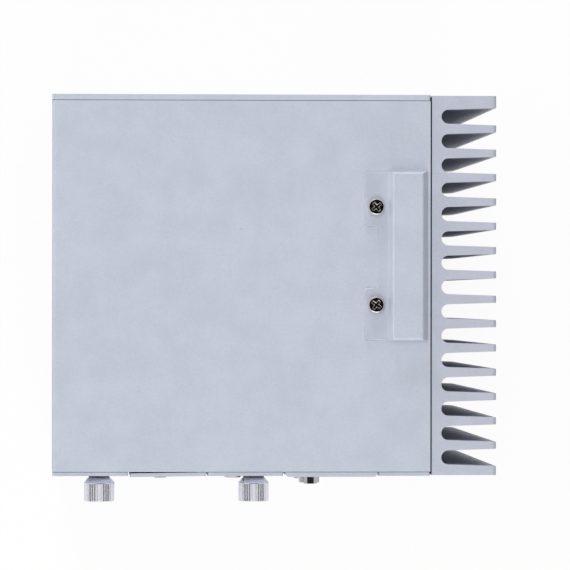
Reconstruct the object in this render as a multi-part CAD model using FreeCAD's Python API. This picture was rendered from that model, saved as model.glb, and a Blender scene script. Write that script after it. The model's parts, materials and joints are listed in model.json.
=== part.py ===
import FreeCAD, Part
import math
import os

Vector = FreeCAD.Vector
X_AXIS = Vector(1, 0, 0)
Y_AXIS = Vector(0, 1, 0)
Z_AXIS = Vector(0, 0, 1)

# A fanless industrial computer, standing upright. Sizes are millimetres.
# The origin is the middle of the standing face, under the steel case.
# X runs from the module bays to the heatsink, Y from front to rear, Z up.

# Case
case_width = 155.2
case_depth = 156.4
case_height = 214.0
cover_sheet = 1.2
cover_bend = 1.5
rear_plate = 2.3
front_plate = 1.5
io_plate_depth = 1.9
seam = 0.2
fit_gap = 0.1

# Folded frames under the cover
frame_sheet = 1.2
frame_bend = 1.5
frame_flange = 12.0
frame_lip = 6.0
plate_overlap = 3.0

# Heatsink, an extrusion that runs the full height
gasket = 0.55
gasket_inset = 2.5
gasket_band = 5.0
sink_base = 4.0
fin_length = 22.65
fin_count = 16
fin_pitch = 10.0
fin_tip = 2.9
fin_slope = 0.0283
rear_end_fin = 5.0
fin_corner = 0.4
sink_end_round = 1.7
sink_inset_y = 0.3
sink_inset_z = 0.4

# Front plates, each given by its width and the gap before it
side_margin = 0.2
module_gap = 0.8
io_plate_width = 37.9
strip_gap = 0.5
strip_width = 21.0
plate_short = 0.3
plate_corner = 1.0
io_plate_bevel = 1.0
blank_plate_lift = 0.42

# Captive thumbscrews, one at the top of each drive bay's plate
thumb_head = 12.7
thumb_neck = 8.6
thumb_length = 10.7
thumb_washer = 0.85
thumb_cone_length = 2.35
thumb_rim = 0.25
thumb_ridges = 36
thumb_ridge_depth = 0.4
thumb_edge = 0.6
thumb_thread = 4.0
thumb_thread_length = 6.0
thumb_from_top = 11.0
thumb_shift = 3.7

# Hooks at the lower end of the drive bays' plates
hook_width = 12.0
hook_sheet = 1.2
hook_drop = 3.5
hook_gap = 0.3

# Card cover on the flat face
card_cover_length = 69.4
card_cover_rear_gap = 31.55
card_cover_set_in = 27.2
card_flange_width = 9.65
card_flange_short = 0.3
card_dome_width = 16.6
card_dome_height = 4.5
card_dome_slope = 1.95
card_dome_far_slope = 2.4
card_dome_end_slope = 0.5
card_dome_bend = 0.8
card_cover_sheet = 1.0
card_ear_lengths = (21.4, 22.0)
card_ear_set_back = 5.7
card_ear_corner = 1.6
card_edge_round = 0.3
card_crown = 0.8
card_dome_tuck = 2.0
card_window_inset = 3.2
card_screw_set_in = 4.8
card_screw_spread = 20.1
card_screw_shift = 0.15

# Screws
m3 = 3.0
m3_head = 5.6
m3_pan_height = 2.0
m3_drill_depth = 5.0
front_shank = 4.5
rear_shank = 6.0
board_shank = 6.0
cover_shank = 5.0
washer_pan_head = 7.0
washer_pan_height = 2.3
bay_pan_head = 7.2
bay_pan_height = 1.1
blank_pan_head = 5.2
blank_pan_height = 0.8
csk_head = 5.8
csk_recess = 0.8
screw_clearance = 0.2
pan_disc_share = 0.86
pan_recess_share = 0.56
m4_tap = 3.3
earth_pan_head = 6.6
earth_pan_height = 2.4
earth_washer = 9.0
earth_washer_sheet = 0.8

# Screw places, as distances from the edges of what they hold
cover_screw_share = 0.22
rear_screw_inset = 12.0
rear_screw_end = 14.0
earth_screw_inset = 24.0
sink_screw_end = 20.0
sink_screw_length = 4.8
blank_screw_share = 0.4
blank_screw_end = 7.0
bay_screw_share = 0.34
io_screw_inset = 6.0
strip_screw_end = 8.0

# Main board, upright between the connectors and the heatsink
board = 1.6
board_set_in = 23.1
board_set_back = 4.2
board_rear_gap = 4.0
board_bottom = 22.0
board_post_inset = 8.0
board_post_behind_ports = 24.0
board_post_flats = 5.5
small_post_flats = 4.0
post_stud_length = 2.8

# Processor, on the heatsink's side of the main board
processor_side = 37.4
processor_carrier = 1.2
processor_lid_side = 26.0
processor_lid = 1.4
thermal_pad = 0.8
heat_block_side = 44.0
heat_block_corner = 3.0

# Memory and clock cell, on the board's inner face
memory_post_gap = 4.4
memory_rise = 6.0
memory_length = 67.6
memory_height = 26.0
memory_card = 1.0
memory_stand = 4.1
memory_chip_side = 12.0
memory_chip_pitch = 16.0
memory_chip_count = 4
memory_socket_wall = 1.8
memory_socket_height = 6.5
memory_socket_stand = 5.2
memory_arm_height = 28.0
memory_seat = 3.6
cell_radius = 10.0
cell_holder_radius = 11.5
cell_holder_height = 2.0
cell_height = 4.0
cell_bottom = 1.0

# Rear mounting holes, square pattern
mount_pitch = 100.0

# Connector plate: middles of what stands on it, measured down from the top
serial_stand = 24.1
serial_drop = (54.5, 99.0)
display_drop = (30.0, 54.0)
network_drop = 98.0
usb_drop = (140.0, 160.0)
port_margin = 0.3
port_proud = 0.3

# Serial connector shells with their hexagonal standoffs
serial_shell_length = 16.9
serial_shell_width = 8.4
serial_shell_lean = 10.0
serial_shell_wall = 0.5
serial_shell_proud = 4.2
serial_shell_corner = 2.2
serial_flange = (12.5, 30.8, 0.8)
serial_insert_proud = 0.6
serial_insert_depth = 12.0
serial_insert_length = 19.0
serial_insert_width = 11.45
serial_standoff_pitch = 25.0
serial_standoff_flats = 4.8
serial_standoff_proud = 4.4
serial_standoff_bore = 1.25
serial_standoff_bore_depth = 3.5
serial_shank_reach = 3.0
serial_pin_pitch = 2.77
serial_row_pitch = 2.84
serial_pin_radius = 0.5
serial_pin_length = 4.0
serial_board_overhang = 18.0
serial_board_set_back = 3.0
serial_board_depth = 35.0
serial_post_inset = 10.0
serial_post_set_in = 5.0
serial_post_flats = 5.0

# Network jacks, ganged in one block
network_count = 3
network_pitch = 16.0
network_height = 13.5
network_depth = 21.0
network_mouth = (8.2, 11.8)
network_mouth_depth = 14.0
network_mouth_shift = 0.4
network_latch = (2.2, 6.2)
network_contact_count = 8
network_contact_pitch = 1.02
network_contact = 0.4
network_contact_stand = 0.5
network_contact_set_back = 3.0
network_contact_length = 9.0

# Twin ports and display sockets
usb_height = 15.6
usb_width = 13.2
usb_depth = 17.5
usb_mouth = (5.1, 12.4)
usb_port_spacing = 7.6
display_height = 7.4
display_width = 18.0
display_depth = 18.0
display_mouth = (4.8, 16.0)
port_mouth_depth = 9.0
port_corner = 0.5
tongue_set_back = 0.8
usb_tongue = (1.8, 11.0)
usb_tongue_shift = 0.2
display_tongue = (1.0, 13.0)

# Strip beside the heatsink: button, lights and power inlet
button_drop = 62.0
button_radius = 5.0
button_proud = 0.9
button_travel = 1.2
button_gap = 0.15
button_ring_width = 1.6
button_ring_proud = 0.6
button_ring_lip = 0.6
button_ring_extra = 1.0
button_length = 6.0
button_edge = 0.4
button_dish = 0.35
button_stem_radius = 2.0
button_stem_length = 2.2
button_rest_gap = 0.1
switch_side = 12.0
switch_depth = 5.9
switch_wall = 0.9
light_drop = 24.0
light_pitch = 6.0
light_count = 4
light_radius = 1.25
light_length = 3.7
light_set_back = 1.6
inlet_drop = 170.0
inlet_proud = 0.4
inlet_pin_count = 4
inlet_pin_pitch = 3.81
inlet_pin = 1.0
inlet_width = 9.0
inlet_depth = 12.0
inlet_wall = 0.9
inlet_floor = 2.0
inlet_key = 1.6
inlet_key_depth = 6.0
strip_window_inset = 3.0
strip_window_sink_inset = 3.9

# Memory cards, upright under the card cover
card_socket_width = 5.6
card_socket_bottom = 48.0
card_socket_top = 11.0
card_socket_floor = 3.0
card_board_sheet = 1.2
card_board_bottom = 56.0
card_board_top = 9.0
card_board_overhang = 1.0
card_post_drop = 53.0
card_post_inset = 1.5
card_spacing = 2.4
storage_card = (42.8, 3.6, 36.4)
storage_card_top = 8.4
storage_card_corner = 0.8
small_card = (15.0, 0.8, 25.0)
small_card_top = 9.0
small_card_cut = 3.0

# Drive bays behind the first and third plates
drive_bays = (0, 2)
backplane_set_in = 13.9
backplane_side_gap = 5.0
backplane_board_gap = 5.7
backplane_margin = 37.0
backplane_post_inset = 5.0
board_link_width = 9.0
board_link_depth = 16.0
board_link_height = 42.0
board_link_rise = 8.0
drive_width = 69.9
drive_length = 100.0
drive_thickness = 7.0
drive_corner = 2.0
drive_clear = 0.3
drive_set_in = 6.0
tray_sheet = 1.2
tray_bend = 1.0
tray_flange = 11.0
tray_relief = 14.0
tray_relief_length = 14.8
tray_window_inset = 16.0
tray_window_front = 40.0
tray_window_rear = 25.0
socket_reach = 9.0
drive_socket_height = 44.0
slot_socket = (7.6, 11.0, 84.0)
slot_groove = (1.8, 8.0, 78.0)
rail_height = 3.2
rail_width = 12.0
rail_overlap = 1.0

# Derived places
case_left = -case_width / 2
case_right = case_width / 2
front_face = -case_depth / 2
rear_face = case_depth / 2
cover_front = front_face + front_plate
cover_rear = rear_face - rear_plate
cover_inside_left = case_left + cover_sheet
cover_inside_top = case_height - cover_sheet
sink_inner = case_right + gasket
sink_tip = sink_inner + sink_base + fin_length
sink_front = front_face + sink_inset_y
sink_rear = rear_face - sink_inset_y
sink_top = case_height - sink_inset_z
fin_root = fin_tip + 2 * fin_slope * fin_length
plate_bottom = plate_short
plate_top = case_height - plate_short
strip_x = case_right - side_margin - strip_width
io_plate_x = strip_x - strip_gap - io_plate_width
io_plate_front = cover_front - io_plate_depth
module_plate_width = (io_plate_x - case_left - side_margin) / 3 - module_gap
module_plates_x = [
    case_left + side_margin + i * (module_plate_width + module_gap) for i in range(3)
]
card_cover_left = case_right - card_cover_set_in
card_cover_front = rear_face - card_cover_rear_gap - card_cover_length
board_inner_face = case_right - board_set_in
board_outer_face = board_inner_face + board
board_front = front_face + board_set_back
backplane_face = cover_rear - backplane_set_in
board_depth = backplane_face - board_rear_gap - board_front
board_height = case_height - 2 * board_bottom
backplane_left = cover_inside_left + backplane_side_gap
backplane_width = board_inner_face - backplane_board_gap - backplane_left
backplane_height = case_height - 2 * backplane_margin
serial_x = board_inner_face - serial_stand


def block(x0, x1, y0, y1, z0, z1):
    """A rectangular block between two corners."""
    return Part.makeBox(x1 - x0, y1 - y0, z1 - z0, Vector(x0, y0, z0))


def rod(radius, start, direction, length):
    """A round bar from a point along a direction."""
    return Part.makeCylinder(radius, length, start, direction)


def hexagon(across_flats, start, direction, length):
    """A hexagonal bar from a point along a direction."""
    radius = across_flats / math.sqrt(3)
    points = []
    for i in range(7):
        angle = math.radians(60 * i)
        points.append(Vector(radius * math.cos(angle), radius * math.sin(angle), 0))
    bar = Part.Face(Part.makePolygon(points)).extrude(Vector(0, 0, length))
    return placed(bar, start, direction)


def placed(shape, point, direction):
    """The shape, modelled along +Z at the origin, turned to a direction."""
    turn = FreeCAD.Rotation(Z_AXIS, direction)
    shape.Placement = FreeCAD.Placement(point, turn)
    return shape


def joined(shapes):
    """One solid from shapes that touch or overlap."""
    whole = shapes[0]
    if len(shapes) > 1:
        whole = whole.fuse(shapes[1:])
    return whole.removeSplitter()


def group(shapes):
    """Separate solids kept together as one node."""
    return Part.makeCompound(shapes)


def rounded_slab(x0, x1, y0, y1, z0, z1, radius, axis):
    """A block whose four edges along one axis are rounded."""
    slab = block(x0, x1, y0, y1, z0, z1)
    edges = [e for e in slab.Edges if abs(e.tangentAt(0).dot(axis)) > 0.99]
    return slab.makeFillet(radius, edges)


def edges_along(shape, axis, test):
    """The straight edges along an axis whose middle passes a test."""
    found = []
    for edge in shape.Edges:
        if edge.Curve.TypeId != "Part::GeomLine":
            continue
        if abs(edge.tangentAt(edge.FirstParameter).dot(axis)) < 0.99:
            continue
        if test(edge.CenterOfMass):
            found.append(edge)
    return found


def revolved(points, start, direction):
    """A turned piece from (radius, height) points, closed on its axis."""
    outline = [Vector(0, 0, points[0][1])]
    outline += [Vector(r, 0, h) for r, h in points]
    outline += [Vector(0, 0, points[-1][1]), outline[0]]
    clean = [outline[0]]
    for point in outline[1:]:
        if point.distanceToPoint(clean[-1]) > 1e-6:
            clean.append(point)
    turned = Part.Face(Part.makePolygon(clean)).revolve(Vector(0, 0, 0), Z_AXIS, 360)
    return placed(Part.makeSolid(turned.Shells[0]), start, direction)


def pan_screw(seat, outward, head, shank_length, height=m3_pan_height):
    """A pan-head screw: domed head outside its seat, shank going in."""
    radius = head / 2
    disc = pan_disc_share * radius
    profile = [
        (m3 / 2, -shank_length),
        (m3 / 2, 0),
        (radius, 0),
        (radius, 0.30 * height),
        ((radius + disc) / 2, 0.66 * height),
        (disc, 0.86 * height),
        (0.75 * disc, 0.94 * height),
        (0.40 * disc, 0.99 * height),
        (0.15 * disc, height),
    ]
    screw = revolved(profile, Vector(0, 0, 0), Z_AXIS)
    recess = cross_recess(pan_recess_share * radius, 0.30 * height, 0.74 * height, 2 * height)
    return placed(screw.cut(recess), seat, outward)


def cross_recess(reach, floor, end, high):
    """The cutter for a cross recess, its arms between the X and Y axes.

    The bottom of each arm rises from the floor in the middle to its end.
    """
    half = 0.3 * reach
    sides = [(-reach, high), (-reach, end), (-half, floor), (half, floor), (reach, end),
             (reach, high), (-reach, high)]
    outline = Part.Face(Part.makePolygon([Vector(x, -half, z) for x, z in sides]))
    arms = []
    for angle in (45, 135):
        arm = outline.extrude(Vector(0, 2 * half, 0))
        arm.rotate(Vector(0, 0, 0), Z_AXIS, angle)
        arms.append(arm)
    return arms


def flush_screw(seat, outward, shank_length):
    """A countersunk screw whose flat head ends flush with its seat."""
    cone = (csk_head - m3) / 2
    profile = [(m3 / 2, -shank_length), (m3 / 2, -cone), (csk_head / 2, 0)]
    screw = revolved(profile, Vector(0, 0, 0), Z_AXIS)
    recess = cross_recess(0.3 * csk_head, -csk_recess, -0.4 * csk_recess, 1.0)
    return placed(screw.cut(recess), seat, outward)


def screw_hole(seat, outward, depth, clearance=screw_clearance):
    """The cutter for a screw's shank, from its seat inwards."""
    start = seat + outward * 1.0
    return rod(m3 / 2 + clearance, start, outward * -1, depth + 1.0)


def countersink(seat, outward, depth):
    """The cutter for a countersunk screw, with its own clearance."""
    big = csk_head / 2 + fit_gap
    small = m3 / 2 + fit_gap
    profile = [(small, -depth), (small, -(big - small)), (big, 0), (big, 1.0)]
    return revolved(profile, seat, outward)


# Screw places, used by the pieces that they join
def left_cover_seats():
    """Four countersunk screws on the left side of the cover."""
    seats = []
    for y in (cover_front + frame_flange / 2, cover_rear - frame_flange / 2):
        for share in (cover_screw_share, 1 - cover_screw_share):
            seats.append(Vector(case_left, y, share * case_height))
    return seats


def rear_plate_seats():
    """Six countersunk screws around the rear plate."""
    seats = []
    for x in (case_left + rear_screw_inset, case_right - rear_screw_inset):
        for z in (rear_screw_end, case_height / 2, case_height - rear_screw_end):
            seats.append(Vector(x, rear_face, z))
    return seats


def sink_screw_seats():
    """Six screws from inside the frames' flanges into the heatsink's base."""
    seats = []
    for y in (cover_front + frame_flange / 2, cover_rear - frame_flange / 2):
        for z in (sink_screw_end, case_height / 2, case_height - sink_screw_end):
            seats.append(Vector(case_right - frame_sheet, y, z))
    return seats


def fin_middle(index):
    """The middle of a fin, counted from the rear."""
    rear_fin = sink_rear - (rear_end_fin - fin_tip / 2)
    return rear_fin - index * fin_pitch


def gap_middle(index):
    """The middle of the gap after a fin, counted from the rear."""
    return fin_middle(index) - fin_pitch / 2


def card_cover_seats():
    """The two screws in the ears of the card cover."""
    x = card_cover_left + card_screw_set_in
    middle = card_cover_front + card_cover_length / 2 + card_screw_shift
    top = case_height + card_cover_sheet
    return [Vector(x, middle + side * card_screw_spread, top) for side in (-1, 1)]


def card_window():
    """The opening in the flat face under the card cover's dome."""
    x0 = card_cover_left + card_flange_width + card_window_inset
    x1 = card_cover_left + card_flange_width + card_dome_width - card_window_inset
    y0 = card_cover_front + card_window_inset
    y1 = card_cover_front + card_cover_length - card_window_inset
    low, high = cover_inside_top - 1.0, case_height + 1.0
    return rounded_slab(x0, x1, y0, y1, low, high, card_ear_corner, Z_AXIS)


def make_cover():
    """The painted cover, one sheet folded over the top, left side and base."""
    outer = block(case_left, case_right, cover_front + seam, cover_rear - seam,
                  0, case_height)
    folds = edges_along(outer, Y_AXIS, lambda p: p.x < 0)
    outer = outer.makeFillet(cover_bend, folds)
    inner = block(cover_inside_left, case_right + 1, front_face, rear_face,
                  cover_sheet, cover_inside_top)
    folds = edges_along(inner, Y_AXIS, lambda p: p.x < 0)
    inner = inner.makeFillet(cover_bend - cover_sheet, folds)
    cutters = [inner, card_window()]
    for seat in left_cover_seats():
        cutters.append(countersink(seat, X_AXIS * -1, m3_drill_depth))
    for seat in card_cover_seats():
        cutters.append(screw_hole(seat, Z_AXIS, m3_drill_depth))
    return outer.cut(cutters)


def folded_pan(outside, inward):
    """A shallow folded pan: a face with flanges on its four sides."""
    x0, x1 = cover_inside_left + fit_gap, case_right
    z0, z1 = cover_sheet + fit_gap, cover_inside_top - fit_gap
    far = outside + inward * frame_flange
    y0, y1 = min(outside, far), max(outside, far)
    shell = block(x0, x1, y0, y1, z0, z1)
    folds = [e for e in shell.Edges if abs(e.CenterOfMass.y - outside) < 1e-6]
    shell = shell.makeFillet(frame_bend, folds)
    face_inside = outside + inward * frame_sheet
    hollow_far = far + inward * 5
    hy0, hy1 = min(face_inside, hollow_far), max(face_inside, hollow_far)
    hollow = block(x0 + frame_sheet, x1 - frame_sheet, hy0, hy1,
                   z0 + frame_sheet, z1 - frame_sheet)
    return shell.cut(hollow)


def make_front_frame():
    """The folded frame behind the front plates, with a window at each bay."""
    pan = folded_pan(cover_front, 1)
    cutters = []
    y0, y1 = cover_front - 1, cover_front + frame_sheet + 0.5
    z0, z1 = thumb_from_top + frame_lip, case_height - thumb_from_top - frame_lip
    for x in module_plates_x:
        cutters.append(block(x + plate_overlap, x + module_plate_width - plate_overlap,
                             y0, y1, z0, z1))
    for wx0, wx1, wz0, wz1 in (io_window(), strip_window()):
        cutters.append(block(wx0, wx1, y0, y1, wz0, wz1))
    for x, z in thumb_places():
        cutters.append(rod(thumb_thread / 2 + fit_gap, Vector(x, y0, z), Y_AXIS,
                           thumb_thread_length))
    for seat in blank_plate_seats() + io_plate_seats() + strip_seats() + bay_3_seats():
        cutters.append(screw_hole(seat, Y_AXIS * -1, m3_drill_depth, fit_gap))
    for seat in left_cover_seats():
        if seat.y < 0:
            cutters.append(countersink(seat, X_AXIS * -1, m3_drill_depth))
    for seat in sink_screw_seats():
        if seat.y < 0:
            cutters.append(screw_hole(seat, X_AXIS * -1, m3_drill_depth))
    return pan.cut(cutters)


def make_rear_frame():
    """The folded frame inside the rear plate."""
    pan = folded_pan(cover_rear, -1)
    cutters = []
    for seat in rear_plate_seats() + [earth_seat()]:
        cutters.append(screw_hole(seat, Y_AXIS, rear_plate + m3_drill_depth, fit_gap))
    for seat in left_cover_seats():
        if seat.y > 0:
            cutters.append(countersink(seat, X_AXIS * -1, m3_drill_depth))
    for seat in sink_screw_seats():
        if seat.y > 0:
            cutters.append(screw_hole(seat, X_AXIS * -1, m3_drill_depth))
    for x, z in rear_mount_places():
        start = Vector(x, cover_rear - 2 * frame_sheet, z)
        cutters.append(rod(m4_tap, start, Y_AXIS, 3 * frame_sheet))
    return pan.cut(cutters)


def rear_mount_places():
    """The four threaded holes of the rear mounting pattern."""
    middle = case_height / 2
    half = mount_pitch / 2
    return [(x, middle + z) for x in (-half, half) for z in (-half, half)]


def make_rear_plate():
    """The thick rear plate, with tapped holes for a wall or rail bracket."""
    plate = rounded_slab(case_left, case_right, cover_rear, rear_face,
                         plate_bottom, case_height, plate_corner, Y_AXIS)
    cutters = []
    for seat in rear_plate_seats():
        cutters.append(countersink(seat, Y_AXIS, rear_plate + 1.0))
    for x, z in rear_mount_places():
        start = Vector(x, cover_rear - 1.0, z)
        cutters.append(rod(m4_tap / 2, start, Y_AXIS, rear_plate + 2.0))
    cutters.append(screw_hole(earth_seat(), Y_AXIS, rear_plate + 1.0, fit_gap))
    return plate.cut(cutters)


def earth_seat():
    """The earth screw's place on the rear plate."""
    return Vector(case_right - earth_screw_inset, rear_face, rear_screw_end)


def make_heatsink():
    """The finned extrusion: tapered fins with round gap roots and rounded ends."""
    base_x = sink_inner + sink_base
    slab = block(sink_inner, sink_tip, sink_front, sink_rear, 0, case_height)
    gaps = []
    for i in range(fin_count - 1):
        gaps.append(fin_gap(base_x, gap_middle(i)))
    body = slab.cut(gaps)
    tips = edges_along(body, Z_AXIS, lambda p: p.x > sink_tip - 1e-3)
    body = body.makeFillet(fin_corner, tips)
    ends = block(sink_inner - 1, sink_tip, sink_front - 1, sink_rear + 1,
                 sink_inset_z, sink_top)
    corners = edges_along(ends, Y_AXIS, lambda p: p.x > sink_inner)
    body = body.common(ends.makeFillet(sink_end_round, corners))
    cutters = []
    for seat in sink_screw_seats():
        cutters.append(rod(m3 / 2 + fit_gap, seat, X_AXIS, sink_screw_length + fit_gap))
    for y, z in board_post_places():
        start = Vector(sink_inner - 1.0, y, z)
        cutters.append(rod(m3 / 2 + fit_gap, start, X_AXIS, 1.0 + post_stud_length + fit_gap))
    return body.cut(cutters)


def fin_gap(base_x, middle):
    """One gap between fins: sloping sides and a full round at the root."""
    root = (fin_pitch - fin_root) / 2
    mouth = (fin_pitch - fin_tip) / 2
    overrun = 2.0
    centre = Vector(base_x + root, middle, 0)
    lower = Vector(base_x + root, middle - root, 0)
    upper = Vector(base_x + root, middle + root, 0)
    out_lower = Vector(sink_tip + overrun, middle - mouth - fin_slope * overrun, 0)
    out_upper = Vector(sink_tip + overrun, middle + mouth + fin_slope * overrun, 0)
    edges = [
        Part.LineSegment(out_upper, upper).toShape(),
        Part.Arc(upper, centre - X_AXIS * root, lower).toShape(),
        Part.LineSegment(lower, out_lower).toShape(),
        Part.LineSegment(out_lower, out_upper).toShape(),
    ]
    return Part.Face(Part.Wire(edges)).extrude(Vector(0, 0, case_height))


def make_gasket():
    """The dark gasket between the case and the heatsink, set back from both."""
    y0, y1 = sink_front + gasket_inset, sink_rear - gasket_inset
    z0, z1 = gasket_inset + sink_inset_z, sink_top - gasket_inset
    ring = block(case_right, sink_inner, y0, y1, z0, z1)
    hole = block(case_right - 1, sink_inner + 1, y0 + gasket_band, y1 - gasket_band,
                 z0 + gasket_band, z1 - gasket_band)
    cutters = [hole]
    for seat in sink_screw_seats():
        cutters.append(screw_hole(seat, X_AXIS * -1, m3_drill_depth))
    return ring.cut(cutters)


def make_card_cover():
    """The formed cover: a flange with two ears beside a raised, closed dome."""
    x0 = card_cover_left
    x1 = x0 + card_flange_width
    x2 = x1 + card_dome_width
    y0 = card_cover_front
    y1 = y0 + card_cover_length
    top = case_height
    wall = card_cover_sheet
    front = y0 + card_flange_short
    rear = y1 - card_flange_short
    flange = block(x0, x1 + card_dome_tuck, front, rear, top, top + wall)
    recess = block(x0 - 1.0, x0 + card_ear_set_back, front + card_ear_lengths[0],
                   rear - card_ear_lengths[1], top - 1.0, top + 2 * wall)
    flange = flange.cut(recess)
    corners = edges_along(flange, Z_AXIS, lambda p: p.x < x1)
    flange = flange.makeFillet(card_ear_corner, corners)
    rims = [e for e in flange.Edges if e.BoundBox.ZMin > top + wall - fit_gap
            and e.CenterOfMass.x < x1]
    flange = flange.makeFillet(card_edge_round, rims)
    lift = card_dome_height
    near, far = x1 + card_dome_slope, x2 - card_dome_far_slope
    low, high = y0 + card_dome_end_slope, y1 - card_dome_end_slope
    outer = Part.makeLoft([
        rectangle_wire(x1, x2, y0, y1, top),
        rectangle_wire(near, far, low, high, top + lift),
    ], True, True)
    inner = Part.makeLoft([
        rectangle_wire(x1 + wall, x2 - wall, y0 + wall, y1 - wall, top - fit_gap),
        rectangle_wire(near + wall, far - wall, low + wall, high - wall, top + lift - wall),
    ], True, True)
    crown = edges_along(outer, Y_AXIS, lambda p: p.z > top + lift - fit_gap)
    crown += edges_along(outer, X_AXIS, lambda p: p.z > top + lift - fit_gap)
    outer = outer.makeFillet(card_crown, crown)
    bend = card_bend(x1, top + wall, front + card_edge_round, rear - card_edge_round)
    cover = joined([flange, outer, bend]).cut(inner)
    holes = [screw_hole(seat, Z_AXIS, m3_drill_depth) for seat in card_cover_seats()]
    return cover.cut(holes)


def card_bend(x1, z, y0, y1):
    """The hollow bend where the flange rises into the dome."""
    angle = math.atan2(card_dome_height, card_dome_slope)
    foot = Vector(x1 + card_cover_sheet / math.tan(angle), y0, z)
    reach = card_dome_bend * math.tan(angle / 2)
    up = Vector(math.cos(angle), 0, math.sin(angle))
    on_flange = foot - X_AXIS * reach
    on_slope = foot + up * reach
    centre = on_flange + Z_AXIS * card_dome_bend
    towards = (foot - centre).normalize()
    edges = [
        Part.Arc(on_flange, centre + towards * card_dome_bend, on_slope).toShape(),
        Part.LineSegment(on_slope, foot).toShape(),
        Part.LineSegment(foot, on_flange).toShape(),
    ]
    return Part.Face(Part.Wire(edges)).extrude(Vector(0, y1 - y0, 0))


def rectangle_wire(x0, x1, y0, y1, z):
    """A closed rectangle at one height."""
    return Part.makePolygon([
        Vector(x0, y0, z),
        Vector(x1, y0, z),
        Vector(x1, y1, z),
        Vector(x0, y1, z),
        Vector(x0, y0, z),
    ])


def make_module_plate(index):
    """One of the three bay plates at the front, with its screw holes."""
    x0 = module_plates_x[index]
    x1 = x0 + module_plate_width
    plate = rounded_slab(x0, x1, front_face, cover_front, plate_bottom, plate_top,
                         plate_corner, Y_AXIS)
    if index in drive_bays:
        plate = joined([plate, plate_hook(x0 + module_plate_width / 2)])
    cutters = []
    for x, z in thumb_places():
        if x0 < x < x1:
            start = Vector(x, front_face - 1.0, z)
            cutters.append(rod(thumb_thread / 2 + screw_clearance, start, Y_AXIS,
                               front_plate + 2.0))
    for seat in blank_plate_seats() + bay_3_seats():
        if x0 < seat.x < x1:
            cutters.append(screw_hole(seat, Y_AXIS * -1, m3_drill_depth))
    plate = plate.cut(cutters)
    return plate if index in drive_bays else lifted(plate)


def lifted(shape):
    """Turned about the blank plate's right rear edge: its left edge stands off."""
    pivot = Vector(module_plates_x[1] + module_plate_width, cover_front, 0)
    angle = math.degrees(math.asin(blank_plate_lift / module_plate_width))
    shape.rotate(pivot, Z_AXIS, angle)
    return shape


def plate_hook(middle):
    """The hook at a plate's lower end: it reaches behind the front frame."""
    low = thumb_from_top + frame_lip + hook_gap
    x0, x1 = middle - hook_width / 2, middle + hook_width / 2
    behind = cover_front + frame_sheet + hook_gap
    shelf = block(x0, x1, cover_front, behind + hook_sheet, low, low + hook_sheet)
    tongue = block(x0, x1, behind, behind + hook_sheet, low - hook_drop, low)
    return joined([shelf, tongue])


def thumb_places():
    """The thumbscrews, one at the top of each drive bay's plate."""
    places = []
    for index in drive_bays:
        x = module_plates_x[index] + module_plate_width / 2 + thumb_shift
        places.append((x, case_height - thumb_from_top))
    return places


def blank_plate_seats():
    """Two small pan-head screws hold the middle, blank plate."""
    x = module_plates_x[1] + blank_screw_share * module_plate_width
    return [Vector(x, front_face, z) for z in (blank_screw_end, case_height - blank_screw_end)]


def bay_3_seats():
    """A low pan-head screw beside the thumbscrew of the third plate."""
    x = module_plates_x[2] + bay_screw_share * module_plate_width
    return [Vector(x, front_face, case_height - thumb_from_top)]


def io_plate_seats():
    """Four countersunk screws at the corners of the connector plate."""
    seats = []
    for x in (io_plate_x + io_screw_inset, io_plate_x + io_plate_width - io_screw_inset):
        for z in (io_screw_inset, case_height - io_screw_inset):
            seats.append(Vector(x, io_plate_front, z))
    return seats


def strip_seats():
    """Two countersunk screws hold the narrow strip beside the heatsink."""
    x = strip_middle()
    return [Vector(x, front_face, z) for z in (strip_screw_end, case_height - strip_screw_end)]


def make_io_plate():
    """The raised connector plate, with bevelled long edges and its cut-outs."""
    front = io_plate_front
    plate = block(io_plate_x, io_plate_x + io_plate_width, front, cover_front,
                  plate_bottom, plate_top)
    sides = [e for e in plate.Edges
             if abs(e.CenterOfMass.y - front) < 1e-6
             and abs(e.tangentAt(0).dot(Z_AXIS)) > 0.99]
    plate = plate.makeChamfer(io_plate_bevel, sides)
    cutters = [countersink(seat, Y_AXIS * -1, m3_drill_depth) for seat in io_plate_seats()]
    y0, y1 = front - 1.0, cover_front + 1.0
    for z in serial_middles():
        cutters.append(serial_tube(serial_shell_width / 2 + port_margin, y0, y1, z,
                                   port_margin))
        for side in (-1, 1):
            hole = Vector(serial_x, y0, z + side * serial_standoff_pitch / 2)
            cutters.append(rod(m3 / 2 + screw_clearance, hole, Y_AXIS, m3_drill_depth))
    for x0, x1, z0, z1 in port_outlines():
        cutters.append(block(x0 - port_margin, x1 + fit_gap, y0, y1,
                             z0 - port_margin, z1 + port_margin))
    return plate.cut(cutters)


def serial_middles():
    """The heights of the two serial connectors."""
    return [case_height - drop for drop in serial_drop]


def port_outlines():
    """The outlines, in X and Z, of the ports on the main board's inner face."""
    right = board_inner_face
    outlines = []
    for drop in display_drop:
        z = case_height - drop
        outlines.append((right - display_height, right, z - display_width / 2,
                         z + display_width / 2))
    half = network_count * network_pitch / 2
    z = case_height - network_drop
    outlines.append((right - network_height, right, z - half, z + half))
    for drop in usb_drop:
        z = case_height - drop
        outlines.append((right - usb_height, right, z - usb_width / 2,
                         z + usb_width / 2))
    return outlines


def io_window():
    """The window in the front frame behind the connector plate."""
    low = min(outline[2] for outline in port_outlines()) - plate_overlap
    high = max(outline[3] for outline in port_outlines()) + plate_overlap
    return io_plate_x + io_plate_bevel + port_margin, board_inner_face + port_margin, low, high


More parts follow.
